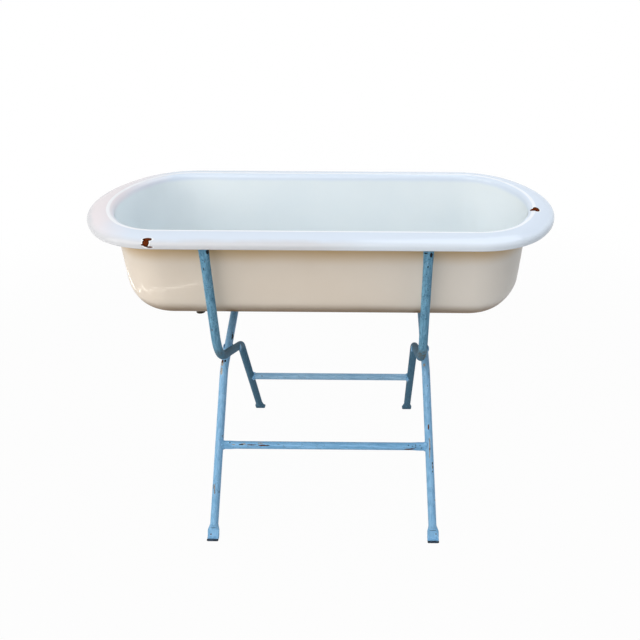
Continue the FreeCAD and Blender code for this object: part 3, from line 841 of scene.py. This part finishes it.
WIRE = PlainFinish("ring_wire", srgb(188, 186, 180), srgb(160, 156, 148), 1.0, 0.34)


def pair(piece: str) -> tuple[str, str]:
    """Names of a piece on the left and of its twin on the right."""
    return f"{piece}_left", f"{piece}_right"


FINISHES = (
    (FRONT_LEGS, Slot.PAINT, pair("front_frame_leg")),
    (REAR_LEGS, Slot.PAINT, pair("rear_frame_leg")),
    (
        FRONT_BAR,
        Slot.PAINT,
        (
            "front_stretcher",
            *pair("front_stretcher_weld"),
            *pair("rear_stretcher_weld"),
            *pair("pivot_rivet"),
            *pair("pivot_washer"),
        ),
    ),
    (REAR_BAR, Slot.PAINT, ("rear_stretcher",)),
    (BRASS, Slot.BRASS, ("waste_body", "waste_nut")),
    (RUBBER, Slot.RUBBER, ("waste_top_seal", "waste_under_seal", "waste_plug")),
    (WIRE, Slot.WIRE, ("plug_pull_ring",)),
)


class Mesher:
    """Edit-mode steps on one piece."""

    def __init__(self, name: str) -> None:
        """Start from one point, made from a small plane."""
        bpy.ops.object.select_all(action="DESELECT")
        bpy.ops.mesh.primitive_plane_add(size=MM, location=(0.0, 0.0, 0.0))
        self.object = bpy.context.object
        self.object.name = name
        self.object.data.name = name
        self.edit()
        bpy.ops.mesh.select_all(action="SELECT")
        bpy.ops.mesh.merge(type="CENTER")
        self.done()

    @property
    def mesh(self) -> bpy.types.Mesh:
        """The piece's mesh."""
        return self.object.data

    def edit(self) -> None:
        """Go to edit mode."""
        bpy.ops.object.mode_set(mode="EDIT")

    def done(self) -> None:
        """Go back to object mode."""
        bpy.ops.object.mode_set(mode="OBJECT")

    def pick(self, test: Callable[[Vector], bool]) -> None:
        """Select the points that pass a test, in edit mode.

        Args:
            test: Says for a point's place whether it is taken.
        """
        bpy.ops.mesh.select_mode(type="VERT")
        bpy.ops.mesh.select_all(action="DESELECT")
        self.done()
        for vertex in self.mesh.vertices:
            vertex.select = test(vertex.co)
        self.edit()

    def chain(self, points: list[Vector]) -> None:
        """Draw a chain of edges from point to point.

        Args:
            points: Places of the chain, in order.
        """
        self.edit()
        bpy.ops.mesh.select_all(action="SELECT")
        bpy.ops.transform.translate(value=points[0])
        for before, after in zip(points, points[1:]):
            bpy.ops.mesh.extrude_vertices_move(TRANSFORM_OT_translate={"value": after - before})
        self.done()

    def spin(self, centre: Vector, angle: float, steps: int) -> None:
        """Sweep the selection about an upright line, against the clock as seen from above."""
        bpy.ops.mesh.spin(steps=steps, angle=-angle, center=centre, axis=(0.0, 0.0, 1.0))

    def apply(self, kind: str, **settings: object) -> None:
        """Add a modifier and apply it at once.

        Args:
            kind: Type of the modifier.
            settings: Its values.
        """
        modifier = self.object.modifiers.new(kind.lower(), kind)
        for name, value in settings.items():
            setattr(modifier, name, value)
        bpy.context.view_layer.objects.active = self.object
        bpy.ops.object.modifier_apply(modifier=modifier.name)


@dataclass(frozen=True)
class ShellSize:
    """Sizes of the bath's shell in metres."""

    half_length: float = 500 * MM
    half_width: float = 229 * MM
    nose_ease: float = 41 * MM
    corner: float = 165 * MM
    rim: float = 748 * MM
    floor: float = 534 * MM
    sheet: float = 2 * MM
    crest_inset: float = 44 * MM
    lip: float = 10 * MM
    lip_drop: float = 16 * MM
    inner_roll: float = 11 * MM
    draft: float = math.radians(3.6)
    floor_corner: float = 58 * MM
    hem_height: float = 724.8 * MM
    hem_roll: float = 3.6 * MM
    floor_run: float = 8 * MM
    waste_inset: float = 206 * MM
    waste_hole: float = 11.5 * MM

    @property
    def nose(self) -> float:
        """Radius of the long round at each end."""
        return self.half_width + self.nose_ease

    @property
    def nose_x(self) -> float:
        """Place of that round's centre."""
        return self.half_length - self.nose

    @property
    def corner_y(self) -> float:
        """Distance of a corner's centre from the middle line."""
        return self.half_width - self.corner

    @property
    def corner_x(self) -> float:
        """Place of a corner's centre along the bath."""
        return self.nose_x + math.sqrt((self.nose - self.corner) ** 2 - self.corner_y ** 2)

    @property
    def nose_half_angle(self) -> float:
        """Half of the angle that the end's round spans."""
        return math.atan2(self.corner_y, self.corner_x - self.nose_x)

    @property
    def crest(self) -> float:
        """Radius of the rim's crown."""
        across, drop = self.crest_inset - self.lip, self.lip_drop
        return (across ** 2 + drop ** 2 - self.lip ** 2) / (2 * (drop - self.lip))


@dataclass(frozen=True)
class ShellSteps:
    """Number of faces along each curve and side of the shell."""

    floor_corner: int = 18
    wall: int = 4
    roll: int = 14
    crown: int = 5
    lip: int = 9
    hem: int = 14
    nose: int = 15
    corner: int = 21
    side: int = 14
    waste: int = 64


def arc_points(centre: Point, radius: float, start: float, end: float, steps: int) -> list[Point]:
    """Points along an arc from one angle to another, with both of its ends."""
    angles = [start + (end - start) * number / steps for number in range(steps + 1)]
    return [(centre[0] + radius * math.cos(a), centre[1] + radius * math.sin(a)) for a in angles]


class BathShell:
    """Pressed bath shell with a rolled rim, white inside and ivory outside."""

    # How near two points count as one, as level with each other, and as on one ring.
    MERGE = 0.001 * MM
    LEVEL = 0.01 * MM
    ON_RING = 0.2 * MM
    # Upward part of its direction below which a face looks down.
    DOWNWARD = -0.02
    # Angle by which the hem's curl goes past a full turn.
    HEM_OVERLAP = 0.5
    SMOOTH_ANGLE = math.radians(35)

    def __init__(self, size: ShellSize, steps: ShellSteps) -> None:
        """Keep the sizes and how finely the curves are drawn."""
        self.size = size
        self.steps = steps

    def skin(self, depth: float) -> list[Point]:
        """One side of the sheet, from the floor up the wall and over the rim to its lower edge.

        Args:
            depth: Distance below the face side.

        Returns:
            Points as inset from the outer edge and height.
        """
        size, steps = self.size, self.steps
        quarter = math.pi / 2
        roll_centre = (size.crest_inset, size.rim - size.inner_roll)
        lip_centre = (size.lip, size.rim - size.lip_drop)
        crown_centre = (size.crest_inset, size.rim - size.crest)
        hem_centre = (size.hem_roll, size.hem_height + size.hem_roll)
        radii = size.inner_roll + size.floor_corner
        corner_height = size.floor + size.sheet + size.floor_corner
        drop = roll_centre[1] + radii * math.sin(size.draft) - corner_height
        corner_inset = size.crest_inset + radii * math.cos(size.draft)
        corner_inset += drop * math.tan(size.draft)
        corner_centre = (corner_inset, corner_height)
        meet = math.atan2(lip_centre[1] - crown_centre[1], lip_centre[0] - crown_centre[0])
        floor_radius = size.floor_corner + depth
        wall_foot = math.pi + size.draft
        hem_end = 2 * math.pi + self.HEM_OVERLAP
        points = [(corner_inset + size.floor_run, corner_height - floor_radius)]
        points += arc_points(
            corner_centre, floor_radius, 3 * quarter, wall_foot, steps.floor_corner
        )
        roll = arc_points(roll_centre, size.inner_roll - depth, size.draft, quarter, steps.roll)
        foot, head = points[-1], roll[0]
        for number in range(1, steps.wall):
            share = number / steps.wall
            points.append(
                (foot[0] + (head[0] - foot[0]) * share, foot[1] + (head[1] - foot[1]) * share)
            )
        points += roll
        points += arc_points(crown_centre, size.crest - depth, quarter, meet, steps.crown)[1:]
        points += arc_points(lip_centre, size.lip - depth, meet, math.pi, steps.lip)[1:]
        points += arc_points(hem_centre, size.hem_roll - depth, math.pi, hem_end, steps.hem)
        return points

    def section(self) -> list[Vector]:
        """The sheet's section at the right end, from the floor's top to its underside."""
        outline = self.skin(0.0) + self.skin(self.size.sheet)[::-1]
        return [Vector((self.size.half_length - inset, 0.0, height)) for inset, height in outline]

    def model(self) -> bpy.types.Object:
        """Sweep the section round a quarter of the outline, mirror it twice and close the floor.

        Returns:
            The finished shell.
        """
        size, steps = self.size, self.steps
        section = self.section()
        mesher = Mesher("bath_shell")
        mesher.chain(section)
        mesher.edit()
        bpy.ops.mesh.select_all(action="SELECT")
        mesher.spin(Vector((size.nose_x, 0.0, 0.0)), size.nose_half_angle, steps.nose)
        turn = math.pi / 2 - size.nose_half_angle
        mesher.spin(Vector((size.corner_x, size.corner_y, 0.0)), turn, steps.corner)
        stride = {"value": (-size.corner_x / steps.side, 0.0, 0.0)}
        for _ in range(steps.side):
            bpy.ops.mesh.extrude_region_move(TRANSFORM_OT_translate=stride)
        bpy.ops.mesh.select_all(action="SELECT")
        bpy.ops.mesh.remove_doubles(threshold=self.MERGE)
        mesher.done()
        mesher.apply(
            "MIRROR",
            use_axis=(True, True, False),
            use_clip=True,
            merge_threshold=self.LEVEL,
        )
        self.close_floor(mesher, size.half_length - section[0].x)
        mesher.edit()
        bpy.ops.mesh.select_all(action="SELECT")
        bpy.ops.mesh.normals_make_consistent(inside=False)
        mesher.done()
        self.bore(mesher)
        self.dress(mesher)
        return mesher.object

    def close_floor(self, mesher: Mesher, ring: float) -> None:
        """Fill the floor's top and underside within the ring where the section starts.

        Args:
            mesher: The shell's edit-mode steps.
            ring: Distance of that ring from the outer edge.
        """
        for height in (self.size.floor, self.size.floor + self.size.sheet):
            def on_ring(place: Vector) -> bool:
                """Say whether a point lies on the ring at this height."""
                level = abs(place.z - height) < self.LEVEL
                return level and abs(self.inset_at(place) - ring) < self.ON_RING
            mesher.edit()
            mesher.pick(on_ring)
            bpy.ops.mesh.edge_face_add()
            mesher.done()

    def arc_beside(self, place: Vector) -> Optional[tuple[float, float, float]]:
        """Find the round of the outline that a point lies beside, seen from above.

        Args:
            place: The point.

        Returns:
            The round's centre in the right rear quarter and its radius, or nothing beside a
            straight side.
        """
        size = self.size
        x, y = abs(place.x), abs(place.y)
        if x <= size.corner_x:
            return None
        if math.atan2(y, x - size.nose_x) < size.nose_half_angle:
            return size.nose_x, 0.0, size.nose
        return size.corner_x, size.corner_y, size.corner

    def inset_at(self, place: Vector) -> float:
        """Distance of a point from the outline seen from above.

        Args:
            place: The point.

        Returns:
            The distance, which grows inward.
        """
        arc = self.arc_beside(place)
        if arc is None:
            return self.size.half_width - abs(place.y)
        x, y, radius = arc
        return radius - math.hypot(abs(place.x) - x, abs(place.y) - y)

    def bore(self, mesher: Mesher) -> None:
        """Cut the hole for the waste through the floor.

        Args:
            mesher: The shell's edit-mode steps.
        """
        size = self.size
        bpy.ops.object.select_all(action="DESELECT")
        bpy.ops.mesh.primitive_cylinder_add(
            vertices=self.steps.waste,
            radius=size.waste_hole,
            depth=10 * size.sheet,
            location=(size.waste_inset - size.half_length, 0.0, size.floor),
        )
        cutter = bpy.context.object
        mesher.apply("BOOLEAN", object=cutter, operation="DIFFERENCE", solver="EXACT")
        bpy.data.objects.remove(cutter)

    def dress(self, mesher: Mesher) -> None:
        """Give the inside and rim one finish and the outside the other.

        Args:
            mesher: The shell's edit-mode steps.
        """
        mesh = mesher.mesh
        inset_values = mesh.attributes.new(INSET, "FLOAT", "POINT")
        for vertex in mesh.vertices:
            inset_values.data[vertex.index].value = self.inset_at(vertex.co)
        mesh.materials.append(INSIDE.build())
        mesh.materials.append(OUTSIDE.build())
        for polygon in mesh.polygons:
            polygon.material_index = int(self.is_ivory(polygon))
        bpy.ops.object.select_all(action="DESELECT")
        mesher.object.select_set(True)
        bpy.context.view_layer.objects.active = mesher.object
        bpy.ops.object.shade_smooth_by_angle(angle=self.SMOOTH_ANGLE)

    def is_ivory(self, polygon: bpy.types.MeshPolygon) -> bool:
        """Say whether a face has the outside's finish.

        Args:
            polygon: The face.

        Returns:
            True for the outer side without the hem's white face.
        """
        size = self.size
        inset = self.inset_at(polygon.center)
        hem = polygon.center.z > size.hem_height - MM and inset < size.hem_roll * 2 + MM
        under = inset > size.lip and polygon.normal.z < self.DOWNWARD
        return inset > size.lip / 2 and self.faces_out(polygon) and (under or not hem)

    def faces_out(self, polygon: bpy.types.MeshPolygon) -> bool:
        """Say whether a face looks away from the inside of the bath.

        Args:
            polygon: The face.

        Returns:
            True for the wall's and floor's outer side and the rim's underside.
        """
        centre, normal = polygon.center, polygon.normal
        if self.inset_at(centre) < self.size.crest_inset:
            return normal.z < 0.0
        arc = self.arc_beside(centre)
        if arc is None:
            out = Vector((0.0, math.copysign(1.0, centre.y), 0.0))
        else:
            x = math.copysign(abs(centre.x) - arc[0], centre.x)
            y = math.copysign(abs(centre.y) - arc[1], centre.y)
            out = Vector((x, y, 0.0)).normalized()
        return normal.dot(out) > normal.z


def area_light(name: str, size: Point, watts: float, colour: Colour) -> bpy.types.Object:
    """Make a light that shines from a rectangle.

    Args:
        name: Name of the light.
        size: Its width and height.
        watts: Its power.
        colour: Its colour.

    Returns:
        The light.
    """
    data = bpy.data.lights.new(name, "AREA")
    data.shape = "RECTANGLE"
    data.size, data.size_y = size
    data.energy = watts
    data.color = colour
    light = bpy.data.objects.new(name, data)
    bpy.context.scene.collection.objects.link(light)
    return light


@dataclass(frozen=True)
class Lamp:
    """Soft light that hangs at a place and shines at a point. Gloss mirrors it or not."""

    name: str
    place: Place
    aim: Place
    size: Point
    watts: float
    colour: Colour
    mirrored: bool = True

    def build(self) -> None:
        """Add the light."""
        light = area_light(self.name, self.size, self.watts, self.colour)
        light.visible_glossy = self.mirrored
        way = Vector(self.aim) - Vector(self.place)
        turn = way.to_track_quat("-Z", "Y").to_matrix().to_4x4()
        light.matrix_world = Matrix.Translation(self.place) @ turn


@dataclass(frozen=True)
class Strip:
    """Narrow light that lies on the floor and shines up, for a bright line in the gloss."""

    name: str
    start: Point
    end: Point
    watts: float
    height: float = 4 * MM
    width: float = 18 * MM
    colour: Colour = (1.0, 0.96, 0.88)

    def build(self) -> None:
        """Add the light."""
        start, end = Vector((*self.start, self.height)), Vector((*self.end, self.height))
        run = end - start
        light = area_light(self.name, (self.width, run.length), self.watts, self.colour)
        along, down = run.normalized(), Vector((0.0, 0.0, -1.0))
        turn = Matrix((along.cross(down), along, down)).transposed().to_4x4()
        light.matrix_world = Matrix.Translation((start + end) / 2) @ turn


LIGHTS = (
    Lamp("key", (-1.7, -2.0, 2.2), (0.0, 0.0, 0.6), (4.4, 2.6), 83.0, (1.0, 0.965, 0.925)),
    Lamp("side", (-2.2, -0.7, 0.9), (0.0, 0.0, 0.6), (0.8, 0.8), 3.0, (1.0, 0.95, 0.9)),
    Lamp("fill", (2.2, -1.4, 1.2), (0.0, 0.0, 0.6), (1.2, 1.2), 6.0, (0.84, 0.92, 1.0)),
    Lamp("top", (0.9, 0.3, 2.6), (-0.1, 0.0, 0.7), (2.2, 1.4), 22.0, (0.89, 0.945, 1.0)),
    Lamp("back", (1.2, 2.4, 1.7), (0.0, 0.0, 0.5), (1.6, 1.2), 14.0, (0.93, 0.96, 1.0), False),
    Strip("strip_back", (-1.15, 1.05), (-1.42, -0.15), 0.9),
    Strip("strip_end", (-1.42, -0.15), (-1.10, -0.76), 0.6),
    Strip("strip_side", (-1.10, -0.76), (-0.50, -1.10), 0.6),
)


@dataclass(frozen=True)
class Studio:
    """Camera, floor, world and lights.

    The camera's focal length, middle and frame are in pixels of the photo. The
    floor glows by less than 1 near the object, to keep its shadow, and by 1 far off.
    """

    place: Place = (0.1021, -1.4476, 1.2610)
    yaw: float = math.radians(0.308)
    pitch: float = math.radians(26.936)
    roll: float = math.radians(0.278)
    focal: float = 698.5
    centre: Point = (365.2, 290.4)
    frame: float = 640.0
    sensor: float = 36.0
    sky: float = 0.25
    floor_glow: float = 0.965
    floor_near: float = 1.0
    floor_far: float = 2.2
    floor_size: float = 40.0
    floor_drop: float = 0.5 * MM

    def camera(self) -> None:
        """Set the camera to the view of the photo."""
        data = bpy.data.cameras.new("camera")
        data.sensor_width = self.sensor
        data.lens = self.focal / self.frame * self.sensor
        data.shift_x = (self.frame / 2 - self.centre[0]) / self.frame
        data.shift_y = (self.centre[1] - self.frame / 2) / self.frame
        camera = bpy.data.objects.new("camera", data)
        bpy.context.scene.collection.objects.link(camera)
        turn = (
            Matrix.Rotation(self.yaw, 4, "Z")
            @ Matrix.Rotation(math.pi / 2 - self.pitch, 4, "X")
            @ Matrix.Rotation(self.roll, 4, "Z")
        )
        camera.matrix_world = Matrix.Translation(self.place) @ turn
        bpy.context.scene.camera = camera

    def shown(self, shader: Shader) -> Socket:
        """Say whether a ray comes from the camera, straight or by a mirror or glass.

        Args:
            shader: Material that the nodes go in.

        Returns:
            1 for such a ray and 0 for light.
        """
        path = shader.node("ShaderNodeLightPath", output="Is Camera Ray")
        outputs = path.output.node.outputs
        glossy = Socket(shader, outputs["Is Glossy Ray"])
        through = Socket(shader, outputs["Is Transmission Ray"])
        return path.at_least(glossy).at_least(through)

    def floor(self) -> None:
        """Lay a large pale floor that shows white to the camera and takes the object's shadow."""
        bpy.ops.object.select_all(action="DESELECT")
        bpy.ops.mesh.primitive_plane_add(
            size=self.floor_size, location=(0.0, 0.0, -self.floor_drop)
        )
        floor = bpy.context.object
        floor.name = "studio_floor"
        shader = Shader("studio_floor")
        pale = shader.mix(shader.mask(FLOOR_CLOUDS), *FLOOR_COLOURS)
        diffuse = shader.node("ShaderNodeBsdfDiffuse", inputs={"Color": pale})
        glow = shader.node("ShaderNodeEmission", inputs={"Color": WHITE, "Strength": 1.0})
        x, y, _ = shader.axes()
        away = (x * x + y * y).ramp(self.floor_near ** 2, self.floor_far ** 2)
        share = self.shown(shader) * (away * (1.0 - self.floor_glow) + self.floor_glow)
        surface = shader.node("ShaderNodeMixShader", inputs={0: share, 1: diffuse, 2: glow})
        shader.close(surface)
        floor.data.materials.append(shader.material)

    def world(self) -> None:
        """Give the world a soft pale light and show it as white."""
        world = bpy.data.worlds.new("studio")
        world.use_nodes = True
        shader = Shader.of_tree(world.node_tree)
        strength = self.shown(shader) * (1.0 - self.sky) + self.sky
        inputs = {"Color": WHITE, "Strength": strength}
        back = shader.node("ShaderNodeBackground", inputs=inputs)
        shader.close(back, "ShaderNodeOutputWorld")
        bpy.context.scene.world = world

    def build(self) -> None:
        """Set up the whole studio."""
        self.camera()
        self.floor()
        self.world()
        for light in LIGHTS:
            light.build()
        bpy.context.scene.view_settings.view_transform = "Standard"


def dress_node(node: str, material: bpy.types.Material, slot: Slot) -> None:
    """Give one of the frame's own pieces a finish.

    Args:
        node: Name of the piece.
        material: Its finish.
        slot: Not used.
    """
    piece = bpy.data.objects[node]
    piece.data.materials.clear()
    piece.data.materials.append(material)


def dress_frame(nodes: Iterable[str]) -> None:
    """Give each of the frame's own pieces that are kept its finish.

    Args:
        nodes: Names of the frame's pieces.
    """
    made: dict[str, tuple[bpy.types.Material, Slot]] = {}
    for finish, slot, dressed in FINISHES:
        material = finish.build()
        made.update({node: (material, slot) for node in dressed})
    for node in nodes:
        if node != SHELL_NODE:
            dress_node(node, *made[node])
            LOG.info("%s dressed", node)


def main() -> None:
    """Build and dress the object, then set up the studio."""
    logging.basicConfig(level=logging.INFO, format="%(message)s")
    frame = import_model()
    bpy.ops.object.select_all(action="DESELECT")
    shell = BathShell(ShellSize(), ShellSteps()).model()
    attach(shell, TUB)
    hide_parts(SHELL_NODE)
    LOG.info("bath shell: %d faces", len(shell.data.polygons))
    dress_frame(frame["nodes"])
    Studio().build()


if __name__ == "__main__":
    main()
